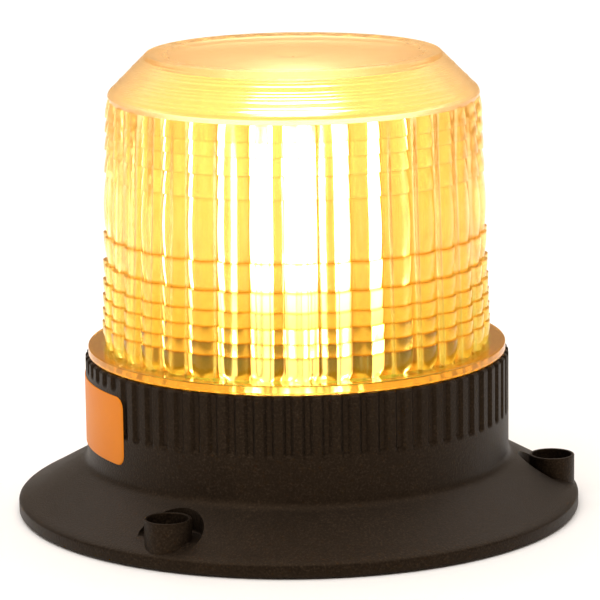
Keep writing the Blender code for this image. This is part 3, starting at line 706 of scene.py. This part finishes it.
@dataclass
class AmberLens:
    """The fluted lens: columns that lean in, prism rings, a ringed shoulder, a crown and a skirt."""

    seat_gap: float = 0.0003
    rim_height: float = 0.0026
    rim_round: float = 0.0004
    rim_chamfer: float = 0.0003
    # rim_tint: how much of the painted ring-edge shade the rim takes.
    rim_tint: float = 0.8
    foot_radius: float = 0.0570
    foot_step: float = 0.0006
    draft: float = 0.034
    lower_rings: tuple[float, ...] = (0.0067, 0.0038, 0.0043, 0.0045, 0.0056, 0.0082)
    belt: float = 0.0177
    belt_bulge: float = 0.0008
    belt_rows: int = 17
    upper_rings: tuple[float, ...] = (0.0066, 0.0052, 0.0042, 0.0049)
    ring_slope: float = 0.15
    ring_bulge: float = 1.8
    ring_rows: int = 9
    bead_height: float = 0.0022
    bead_inset: float = 0.0009
    bead_round: float = 0.0008
    bead_set_back: float = 0.0006
    bead_undercut: float = 0.0003
    shoulder_run: float = 0.0106
    shoulder_rings: int = 14
    shoulder_step: float = 0.00020
    crown_edge: float = 0.0010
    crown_dish: float = 0.0012
    crown_thickness: float = 0.0030
    crown_rows: int = 12
    # crown_fade: how fast the painted pale light falls off across the crown.
    crown_fade: float = 0.7
    gate_radius: float = 0.0016
    gate_depth: float = 0.0006
    pole_share: float = 0.02
    wall: float = 0.0048
    wall_drop: float = 0.001
    skirt_radius: float = 0.0574
    skirt_wall: float = 0.0025
    skirt_drop: float = 0.002
    flutes: int = 36
    flute_depth: float = 0.0017
    flute_crest: float = math.radians(1.4)
    flute_sides: int = 12
    valley_start: float = 0.80
    foot_round: float = 0.0028
    foot_narrowing: float = 0.45
    # edge_reach and upper_tint shape the painted ring-edge shade; low_slope the painted light at the
    # columns' foot.
    edge_reach: float = 0.0006
    upper_tint: float = 0.45
    low_slope: float = 1.6
    inner_ribs: int = 72
    inner_rib_depth: float = 0.00028
    sharp: float = 32.0
    finish: AmberPolycarbonate = AmberPolycarbonate()

    def __post_init__(self) -> None:
        """Read rim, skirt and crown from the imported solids, and stack the rings on the ledge."""
        low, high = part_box("amber_lens")
        self.rim_radius = (high.x - low.x) / 2
        self.skirt_foot, self.crown_top = low.z, high.z
        self.rim_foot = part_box("base_collar")[1].z + self.seat_gap
        self.ledge = self.rim_foot + self.rim_height
        self.lower = self.ledge + np.cumsum((0.0, *self.lower_rings))
        self.upper = self.lower[-1] + self.belt + np.cumsum((0.0, *self.upper_rings))
        self.bead_top = self.upper[-1] + self.bead_height
        self.bead_radius = self.crest(self.upper[-1]) - self.bead_inset
        self.crown_radius = self.bead_radius - self.shoulder_run

    def crest(self, height: Array | float) -> Array | float:
        """Radius of the column crests, which falls with height by the draft."""
        return self.foot_radius - (height - self.ledge) * self.draft

    def crown_section(self) -> Array:
        """The crown and its rounded edge, from the middle outwards.

        With s from the middle to the edge, the crown lies dish * (1 - s^2) below its top, and a bell
        curve sinks the gate mark into its middle.

        Returns:
            (radius, height) rows.
        """
        flat = self.crown_radius - self.crown_edge
        share = np.linspace(self.pole_share, 1.0, self.crown_rows)
        height = self.crown_top - self.crown_dish * (1.0 - share ** 2)
        height -= self.gate_depth * np.exp(-((share * flat / self.gate_radius) ** 2))
        edge = arc((flat, self.crown_top - self.crown_edge), self.crown_edge, 80.0, 45.0, 4)
        return np.concatenate([np.stack([flat * share, height], axis=-1), edge])

    def shoulder_section(self, start: Array) -> Array:
        """The ringed shoulder and the bead below it.

        A row is a place on the straight line from the crown's edge to the bead, pushed along the
        line's normal by a saw tooth for each ring.

        Args:
            start: The (radius, height) of the crown's edge.

        Returns:
            (radius, height) rows.
        """
        end = np.array([self.bead_radius, self.bead_top])
        steps = np.linspace(0.0, 1.0, self.shoulder_rings * 3 + 1)[1:]
        tooth = (steps * self.shoulder_rings) % 1.0 - 0.5
        normal = np.array([start[1] - end[1], end[0] - start[0]]) / np.linalg.norm(end - start)
        slope = start + (end - start) * steps[:, None] + normal * (self.shoulder_step * tooth)[:, None]
        middle = (self.bead_radius - self.bead_set_back, self.bead_top - self.bead_round)
        foot = self.upper[-1]
        side = (self.bead_radius, foot + self.bead_round), (self.bead_radius - self.bead_undercut, foot)
        return np.concatenate([slope, arc(middle, self.bead_round, 40.0, -10.0, 4), run(*side, 3)])

    def ring_face(self, foot: float, top: float, upward: bool) -> Array:
        """One prism ring, top to bottom: a bulging face that leans away from its proud edge.

        With s from the proud edge to the other, the face lies slope * height * s^bulge inside the crest.

        Args:
            foot: Height of its lower edge.
            top: Height of its upper edge.
            upward: Whether its lower edge is the proud one.

        Returns:
            (radius, height) rows.
        """
        share = np.linspace(0.0, 1.0, self.ring_rows)
        height = top + (foot - top) * share
        lean = 1.0 - share if upward else share
        drop = self.ring_slope * (top - foot) * lean ** self.ring_bulge
        return np.stack([self.crest(height) - drop, height], axis=-1)

    def column_section(self) -> Array:
        """The crest of a column, top to bottom: upper rings, belt and lower rings.

        With u from 1 to -1 down the belt, the belt lies bulge * u^2 inside the crest.

        Returns:
            (radius, height) rows.
        """
        across = np.linspace(1.0, -1.0, self.belt_rows)
        height = (self.lower[-1] + self.upper[0]) / 2 + across * self.belt / 2
        belt = np.stack([self.crest(height) - self.belt_bulge * across ** 2, height], axis=-1)
        above = [self.ring_face(foot, top, True) for foot, top in zip(self.upper, self.upper[1:])]
        below = [self.ring_face(foot, top, False) for foot, top in zip(self.lower, self.lower[1:])]
        return np.concatenate([*above[::-1], belt, *below[::-1]])

    def rim_section(self) -> Array:
        """The ledge, the rounded rim, its underside and the skirt.

        Returns:
            (radius, height) rows.
        """
        rim, flat = self.rim_radius, self.rim_radius - self.rim_round
        return np.concatenate([
            np.array([(self.foot_radius + self.foot_step, self.ledge), (flat, self.ledge)]),
            arc((flat, self.ledge - self.rim_round), self.rim_round, 80.0, 0.0, 4),
            np.array([(rim, self.rim_foot + self.rim_chamfer), (rim - self.rim_chamfer, self.rim_foot)]),
            run((self.skirt_radius, self.rim_foot), (self.skirt_radius, self.skirt_foot), 3),
        ])

    def outer(self) -> tuple[Array, dict[str, Array]]:
        """The outer section from crown to skirt.

        Returns:
            (radius, height) rows, and by row: flute, whether it is fluted; foot, how far it is up
            the rounding at the columns' foot; and the finish's masks of painted shade and light: ledge, low
            and pale.
        """
        crown = self.crown_section()
        top = np.concatenate([crown, self.shoulder_section(crown[-1])])
        parts = top, self.column_section(), self.rim_section()
        lengths = [len(part) for part in parts]
        rows = np.concatenate(parts)
        radius, height = rows.T
        edges = np.concatenate([self.lower[1:], self.upper[:-1]])
        # Painted shade on the ring edges: one near each edge, weaker on the upper rings, and on the rim.
        near = smoothstep(1.0 - np.abs(height[:, None] - edges).min(axis=1) / self.edge_reach)
        near = near * np.where(height > self.lower[-1] + self.belt / 2, self.upper_tint, 1.0)
        # Painted pale light in the crown's middle, falling off outwards.
        fade = 1.0 - self.crown_fade * np.clip(radius / self.crown_radius, 0.0, 1.0) ** 2
        return rows, {
            "flute": np.repeat((0.0, 1.0, 0.0), lengths),
            "foot": np.clip((height - self.ledge) / self.foot_round, 0.0, 1.0),
            "ledge": np.maximum(near, np.repeat((0.0, 0.0, self.rim_tint), lengths)),
            # Where the painted yellow-green light lies, at the columns' foot.
            "low": smoothstep(self.low_slope * (self.lower[-1] - height) / (self.lower[-1] - self.ledge)),
            "pale": np.repeat((1.0, 0.0, 0.0), lengths) * fade,
        }

    def inner(self) -> tuple[Array, Array]:
        """The inner section from the skirt up to under the crown.

        Returns:
            (radius, height) rows, and by row whether it is ribbed.
        """
        roof = self.crown_top - self.crown_dish - self.crown_thickness
        shoulder = self.bead_top - self.crown_thickness
        rim = self.crown_radius - self.crown_thickness
        bore = self.skirt_radius - self.skirt_wall
        foot = self.foot_radius - self.wall, self.ledge - self.wall_drop
        skirt = run((bore, self.skirt_foot), (bore, self.rim_foot - self.skirt_drop), 3)
        wall = run(foot, (self.crest(shoulder) - self.wall, shoulder), 12)
        ceiling = run((rim, roof), (rim * self.pole_share, roof), 6)
        ribbed = np.repeat((0.0, 1.0, 0.0), (len(skirt), len(wall) - 1, len(ceiling) + 1))
        return np.concatenate([skirt, wall, ceiling]), ribbed

    def build(self) -> bpy.types.Object:
        """Skin the section round the axis.

        A point is (crest radius - flute drop, height) turned to its azimuth. Across one column, with
        u from -1 to 1, the drop is depth * (u / w)^2: a round column, and full depth outside the half
        width w, which narrows in a quarter circle towards the foot of the column. On the inside, a
        cosine of the azimuth makes the ribs.

        Returns:
            The lens piece.
        """
        rows, share = self.outer()
        fluted = share["flute"][:, None]
        samples = np.arange(self.flutes * self.flute_sides)
        azimuths = self.flute_crest + samples * 2 * math.pi / len(samples)
        across = 2.0 * ((samples / self.flute_sides + 0.5) % 1.0) - 1.0
        width = 1.0 - self.foot_narrowing * (1.0 - np.sqrt(1.0 - (1.0 - share["foot"]) ** 2))
        inside = np.clip(np.abs(across)[None, :] / width[:, None], 0.0, 1.0)
        outer = Skin.ring(azimuths, rows[:, :1] - self.flute_depth * inside ** 2 * fluted, rows[:, 1:])
        inner_rows, ribbed = self.inner()
        ribs = self.inner_rib_depth * np.cos(azimuths * self.inner_ribs)[None, :] * ribbed[:, None]
        inner = Skin.ring(azimuths, inner_rows[:, :1] + ribs, inner_rows[:, 1:])
        lens = Skin.mesh("fluted_lens", np.concatenate([outer, inner]), sharp=self.sharp)
        # groove marks the painted shade in the valleys; ledge, low and pale carry the finish's painted shade
        # and light.
        groove = smoothstep((inside - self.valley_start) / (1.0 - self.valley_start)) * fluted
        Skin.carry(lens, "groove", groove)
        for name in ("ledge", "low", "pale"):
            Skin.carry(lens, name, np.broadcast_to(share[name][:, None], inside.shape))
        dress(lens, self.finish.material())
        keep(lens, Body.LENS, "amber_lens", "amber_lens")
        return lens


@dataclass
class BaseMoulding:
    """The black base: flange, cone, grooved collar and three screw cups, each in a recess of the cone."""

    lip_height: float = 0.0032
    lip_edge: float = 0.0011
    lip_reach: float = 0.0033
    lip_width: float = 0.0022
    foot_chamfer: float = 0.0004
    collar_radius: float = 0.0620
    collar_foot: float = 0.0150
    fillet: float = 0.0022
    chamfer: float = 0.0006
    wall: float = 0.0023
    shelf: tuple[float, float] = (0.0199, 0.0222)
    shelf_radius: float = 0.0575
    gasket_seat: float = 0.0018
    grips: int = 72
    grip_sides: int = 12
    grip_share: float = 0.50
    grip_slope: float = 0.09
    grip_depth: float = 0.0009
    grip_foot: float = 0.0283
    grip_rise: float = 0.0012
    grip_run: float = 0.0016
    pad_centre: float = math.radians(-92.0)
    pad_half: float = math.radians(37.0)
    pad_top: float = 0.0418
    bosses: int = 3
    boss_start: float = math.radians(-29.0)
    boss_circle: float = 0.0750
    boss_radius: float = 0.00665
    boss_top: float = 0.0130
    boss_foot: float = 0.0035
    boss_round: float = 0.00035
    boss_sides: int = 96
    cup_radius: float = 0.0058
    cup_floor: float = 0.0060
    hole_radius: float = 0.0032
    recess_radius: float = 0.0098
    recess_flare: float = 0.0006
    recess_floor: float = 0.0070
    recess_round: float = 0.0009
    tool_pole: float = 0.0005
    tool_above: float = 0.003
    tool_below: float = -0.002
    sharp: float = 40.0
    finish: GrainedPlastic = GrainedPlastic()

    def __post_init__(self) -> None:
        """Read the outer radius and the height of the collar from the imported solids."""
        low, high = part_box("base_flange")
        self.radius = (high.x - low.x) / 2
        self.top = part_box("base_collar")[1].z

    def cone(self, radius: float) -> float:
        """Height of the flange's upper face, which is a straight slope from lip to collar.

        Args:
            radius: Where on the cone.

        Returns:
            The height there.
        """
        foot = self.radius - self.lip_edge
        share = (foot - radius) / (foot - self.collar_radius)
        return self.lip_height + self.lip_edge + share * (self.collar_foot - self.lip_height - self.lip_edge)

    def section(self) -> Array:
        """The closed half section, from the collar's top edge round the outside and back inside.

        Returns:
            (radius, height) rows.
        """
        side, bore, reach = self.collar_radius, self.collar_radius - self.wall, self.grip_run
        fillet, lip, inside = side + self.fillet, self.radius - self.lip_reach, self.radius - self.lip_width
        fillet_foot, lip_back = (fillet, self.cone(fillet)), (lip, self.cone(lip))
        lip_corner = (self.radius, self.cone(self.radius - self.lip_edge * 0.4))
        shelf_foot, shelf_top = self.shelf
        return np.concatenate([
            run((bore, self.top), (side - self.chamfer, self.top), 3),
            run((side, self.top - self.chamfer), (side, self.pad_top + reach), 3),
            run((side, self.pad_top + reach * 0.75), (side, self.pad_top - reach * 0.25), 5),
            run((side, self.grip_foot + reach), (side, self.grip_foot - reach), 9),
            bend((side, self.collar_foot + self.fillet), (side, self.cone(side)), fillet_foot, 7),
            run(fillet_foot, lip_back, 6)[1:-1],
            bend(lip_back, lip_corner, (self.radius, self.lip_height), 7),
            np.array([
                (self.radius, self.foot_chamfer), (self.radius - self.foot_chamfer, 0.0),
                (inside, 0.0), (inside, self.gasket_seat), (bore, self.gasket_seat),
                (bore, shelf_foot), (self.shelf_radius, shelf_foot),
                (self.shelf_radius, shelf_top), (bore, shelf_top),
            ]),
        ])

    def grooves(self, section: Array, azimuths: Array) -> Array:
        """How far the grip grooves sink the collar.

        The depth is an S-curve of the distance from the groove's edge, times an S-curve of the
        height above the groove's foot, which lies higher over the label pad.

        Args:
            section: (radius, height) rows.
            azimuths: Angles from the front, by column.

        Returns:
            The depth, by row and column.
        """
        across = np.abs((azimuths * self.grips / (2 * math.pi)) % 1.0 - 0.5)
        profile = smoothstep((self.grip_share / 2 - across) / self.grip_slope)
        offset = np.abs((azimuths - self.pad_centre + math.pi) % (2 * math.pi) - math.pi)
        foot = np.where(offset < self.pad_half, self.pad_top, self.grip_foot)
        rise = smoothstep((section[:, 1:] - foot[None, :]) / self.grip_rise)
        skin = self.collar_radius - 2 * self.chamfer
        outside = (section[:, :1] > skin) & (section[:, 1:] > self.collar_foot)
        return self.grip_depth * profile[None, :] * rise * outside

    def boss_tools(self) -> dict[str, Array]:
        """The tools that make one screw cup.

        Returns:
            Half sections (radius, height) of the recess, the wall and the stepped bore.
        """
        small, soft, middle = self.boss_round, self.recess_round, self.tool_pole
        above, below = self.collar_foot + self.tool_above, self.tool_below
        lift, mouth = self.boss_top - small, self.cup_radius + small
        return {
            "recess": np.concatenate([
                np.array([(middle, above), (self.recess_radius + self.recess_flare, above)]),
                arc((self.recess_radius - soft, self.recess_floor + soft), soft, 0.0, -90.0, 7),
                np.array([(middle, self.recess_floor)]),
            ]),
            "wall": np.concatenate([
                np.array([(middle, self.boss_top)]),
                arc((self.boss_radius - small, lift), small, 90.0, 0.0, 5),
                np.array([(self.boss_radius, self.boss_foot), (middle, self.boss_foot)]),
            ]),
            "bore": np.concatenate([
                np.array([(middle, above), (mouth, above), (mouth, self.boss_top)]),
                arc((mouth, lift), small, 90.0, 180.0, 5)[1:],
                np.array([(self.cup_radius, self.cup_floor), (self.hole_radius, self.cup_floor)]),
                np.array([(self.hole_radius, below), (middle, below)]),
            ]),
        }

    def add_bosses(self, base: bpy.types.Object) -> None:
        """Sink the recesses, stand the cup walls in them and bore the cups.

        Each kind of tool is turned a little against the others, so that no edges coincide.

        Args:
            base: The piece to work on.
        """
        azimuths = self.boss_start + np.arange(self.bosses) * 2 * math.pi / self.bosses
        centres = self.boss_circle * np.stack([np.sin(azimuths), -np.cos(azimuths)], axis=-1)
        profiles = self.boss_tools()
        for step, (name, profile) in enumerate(profiles.items()):
            turn = step / len(profiles)
            tools = [Skin.turned(name, profile, self.boss_sides, centre, turn) for centre in centres]
            Skin.shape(base, tools, Cut.ADD if name == "wall" else Cut.TAKE, self.sharp)

    def build(self) -> bpy.types.Object:
        """Skin the section round the axis, sink the grooves, then make the screw cups.

        Returns:
            The base piece.
        """
        section = self.section()
        count = self.grips * self.grip_sides
        azimuths = (np.arange(count) + 0.5) * 2 * math.pi / count
        radii = section[:, :1] - self.grooves(section, azimuths)
        rows = Skin.ring(azimuths, radii, section[:, 1:])
        base = Skin.mesh("base_moulding", rows, loop=True, sharp=self.sharp)
        self.add_bosses(base)
        dress(base, self.finish.material())
        keep(base, Body.BASE, "black_plastic", "base_flange", "base_collar")
        return base


@dataclass
class Label:
    """The bare orange sticker wrapped round the collar's left side."""

    radius: float = 0.0620
    right: float = math.radians(-53.0)
    left: float = math.radians(-128.0)
    foot: float = 0.0205
    top: float = 0.0405
    corner: float = 0.0032
    thickness: float = 0.00022
    edge: float = 0.0003
    glue: float = 0.00006
    bedding: float = 0.00005
    pole_share: float = 0.05
    outline_points: int = 200
    sharp: float = 60.0
    finish: StickerFilm = StickerFilm()

    def outline(self) -> Array:
        """A rectangle with round corners: four quarter circles, joined and spaced evenly.

        Returns:
            (along, up) rows from the label's middle, anticlockwise seen from outside.
        """
        half = np.array([self.radius * (self.right - self.left) / 2, (self.top - self.foot) / 2])
        quarter = np.linspace(0.0, 90.0, 9)
        turns = np.radians(np.concatenate([quarter + 90.0 * k for k in range(4)]))
        signs = np.repeat(np.array([[1, 1], [-1, 1], [-1, -1], [1, -1]]), len(quarter), axis=0)
        circle = np.stack([np.cos(turns), np.sin(turns)], axis=-1)
        corners = signs * (half - self.corner) + self.corner * circle
        around = np.concatenate([corners, corners[:1]])
        length = np.cumsum([0.0, *np.linalg.norm(np.diff(around, axis=0), axis=1)])
        even = np.linspace(0.0, length[-1], self.outline_points, endpoint=False)
        return np.stack([np.interp(even, length, around[:, k]) for k in (0, 1)], axis=-1)

    def build(self) -> bpy.types.Object:
        """Bend the label round the collar.

        With s from the middle to the edge, a point is s times the outline, laid on the cylinder, and
        lifted by the film's thickness, which falls off in a quarter circle over the last of s. The
        back of the film lies just clear of the collar.

        Returns:
            The label piece.
        """
        edge = 1.0 - 2 * self.edge / (self.top - self.foot)
        share = np.concatenate([np.linspace(self.pole_share, edge, 12), np.linspace(edge, 1.0, 5)[1:]])
        fall = np.clip((share - edge) / (1.0 - edge), 0.0, 1.0)
        lift = self.thickness * np.sqrt(np.clip(1.0 - fall ** 2, 0.0, 1.0))
        back = share[-2:0:-3]
        share = np.concatenate([share, back])
        lift = np.concatenate([lift, np.full(len(back), -self.bedding)]) + self.glue
        flat = share[:, None, None] * self.outline()[None, :, :]
        azimuths = (self.left + self.right) / 2 + flat[..., 0] / self.radius
        heights = (self.foot + self.top) / 2 + flat[..., 1]
        rows = Skin.ring(azimuths, self.radius + lift[:, None], heights)
        label = Skin.mesh("blank_label", rows, sharp=self.sharp)
        dress(label, self.finish.material())
        keep(label, Body.BASE, "black_plastic")
        return label


@dataclass
class LampTower:
    """The lit column: aluminium, lamp strips and lamps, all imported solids."""

    strips: int = 6
    lamps: int = 3
    lamp: LampGlow = LampGlow("lamp_phosphor", (1.0, 0.96, 0.88), 28.0)
    # The strip boards glow with painted lamp light, dimmer at their foot.
    strip: CircuitBoard = CircuitBoard(
        "lamp_strip_board_painted_glow", (0.86, 0.85, 0.80), (0.80, 0.78, 0.70), (1.0, 0.96, 0.88), 14.0
    )
    metal: BareMetal = BareMetal("extruded_aluminium", (0.80, 0.80, 0.82), 0.35)
    # The cap is no lamp: its glow is painted lamp light.
    cap: LampGlow = LampGlow("cap_painted_glow", (1.0, 0.95, 0.84), 15.0)

    def build(self) -> None:
        """Dress the solids of the column."""
        lamp, strip = self.lamp.material(), self.strip.material()
        for n in range(1, self.strips + 1):
            dress(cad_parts[f"led_board_{n}"], strip)
            for k in range(1, self.lamps + 1):
                dress(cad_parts[f"led_{n}_{k}"], lamp)
        dress(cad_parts["heat_sink"], self.metal.material())
        dress(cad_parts["tower_cap"], self.cap.material())


class Innards:
    """Driver board, its parts, the seals and the fasteners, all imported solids."""

    def finishes(self) -> dict[Finish, tuple[str, ...]]:
        """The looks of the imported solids.

        Returns:
            Each finish with the solids that wear it.
        """
        return {
            CircuitBoard("driver_board_mask", (0.14, 0.48, 0.09), (0.28, 0.62, 0.18)): ("driver_board",),
            GrainedPlastic("deck_black_plastic"): ("deck_plate",),
            Rubber(): ("base_gasket", "cable_grommet", "lens_seal"),
            MouldedPart("breather_white", (0.80, 0.80, 0.78), 0.5): ("vent_plug",),
            BareMetal("zinc_plated_steel", (0.62, 0.62, 0.64), 0.3): (
                "board_screw_1", "board_screw_2", "board_screw_3", "tower_screw_1", "tower_screw_2",
            ),
            MouldedPart("capacitor_sleeve", (0.04, 0.06, 0.14), 0.35): ("capacitor_1", "capacitor_2"),
            MouldedPart("ferrite_drum", (0.09, 0.08, 0.08), 0.6): ("inductor",),
            MouldedPart("chip_moulding", (0.018, 0.018, 0.018), 0.5): ("driver_chip",),
            MouldedPart("terminal_moulding", (0.04, 0.30, 0.12), 0.4): ("terminal_block",),
        }

    def build(self) -> None:
        """Dress each solid with its finish."""
        for finish, nodes in self.finishes().items():
            material = finish.material()
            for node in nodes:
                dress(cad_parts[node], material)


@dataclass(frozen=True)
class SoftLamp:
    """A square soft lamp aimed at the middle of the object."""

    name: str
    place: Place
    size: float
    power: float
    target: Place = (0.0, 0.0, 0.06)

    def build(self) -> None:
        """Hang the lamp and aim it."""
        data = bpy.data.lights.new(self.name, "AREA")
        data.size, data.energy = self.size, self.power
        lamp = bpy.data.objects.new(self.name, data)
        lamp.location = self.place
        lamp.rotation_euler = (Vector(self.target) - lamp.location).to_track_quat("-Z", "Y").to_euler()
        bpy.context.scene.collection.objects.link(lamp)


@dataclass
class Studio:
    """Pale floor, soft lamps and the camera where the photograph's was."""

    camera_place: Place = (0.0, -1.0, 0.2681)
    camera_target: Place = (0.0011, 0.0, 0.0606)
    camera_roll: float = math.radians(-0.738)
    focal_length: float = 209.4
    sensor: float = 36.0
    floor_half: float = 6.0
    floor_height: float = -0.0004
    floor_colour: Colour = (0.97, 0.97, 0.97)
    floor_roughness: float = 0.9
    floor_reflection: float = 0.1
    sky: float = 0.38
    sky_colour: Colour = (1.0, 0.80, 0.62)
    lamps: tuple[SoftLamp, ...] = (
        SoftLamp("overhead_softbox", (0.0, 0.4, 2.2), 4.5, 100.0),
        SoftLamp("key_lamp", (-0.7, -0.9, 1.1), 0.7, 4.0),
    )

    def camera(self) -> None:
        """Aim the camera and roll it about its own axis."""
        data = bpy.data.cameras.new("photo_camera")
        data.lens, data.sensor_width = self.focal_length, self.sensor
        camera = bpy.data.objects.new("photo_camera", data)
        camera.location = self.camera_place
        aim = (Vector(self.camera_target) - camera.location).to_track_quat("-Z", "Y")
        camera.rotation_mode = "QUATERNION"
        camera.rotation_quaternion = aim @ Quaternion((0.0, 0.0, 1.0), self.camera_roll)
        bpy.context.scene.collection.objects.link(camera)
        bpy.context.scene.camera = camera

    def floor(self) -> None:
        """A wide flat floor just under the object."""
        signs = ((-1, -1), (1, -1), (1, 1), (-1, 1))
        corners = [(x * self.floor_half, y * self.floor_half, self.floor_height) for x, y in signs]
        mesh = bpy.data.meshes.new("studio_floor")
        mesh.from_pydata(corners, [], [(0, 1, 2, 3)])
        floor = bpy.data.objects.new("studio_floor", mesh)
        bpy.context.scene.collection.objects.link(floor)
        g = MaterialGraph("studio_floor")
        g.set(base_color=self.floor_colour, roughness=self.floor_roughness)
        g.set(specular_ior_level=self.floor_reflection)
        dress(floor, g.material)

    def world(self) -> None:
        """White to the eye and through the lens, and a dim warm light to all else."""
        world = bpy.data.worlds.new("studio_world")
        world.use_nodes = True
        g = Graph(world.node_tree)
        rays = (f"Is {kind} Ray" for kind in ("Camera", "Transmission"))
        eye, glass = (g.node("ShaderNodeLightPath", {}, {}, ray) for ray in rays)
        level = g.blend(eye.larger(glass), dimmed(self.sky_colour, self.sky), WHITE)
        g.put(g.tree.nodes["Background"].inputs["Color"], level)
        bpy.context.scene.world = world

    def build(self) -> None:
        """Set the stage."""
        self.camera()
        self.floor()
        self.world()
        for lamp in self.lamps:
            lamp.build()
        bpy.context.scene.view_settings.view_transform = "Standard"


def main() -> None:
    """Build the pieces in order."""
    logging.basicConfig(level=logging.INFO)
    for part in (Studio(), BaseMoulding(), AmberLens(), Label(), LampTower(), Innards()):
        part.build()


if __name__ == "__main__":
    main()
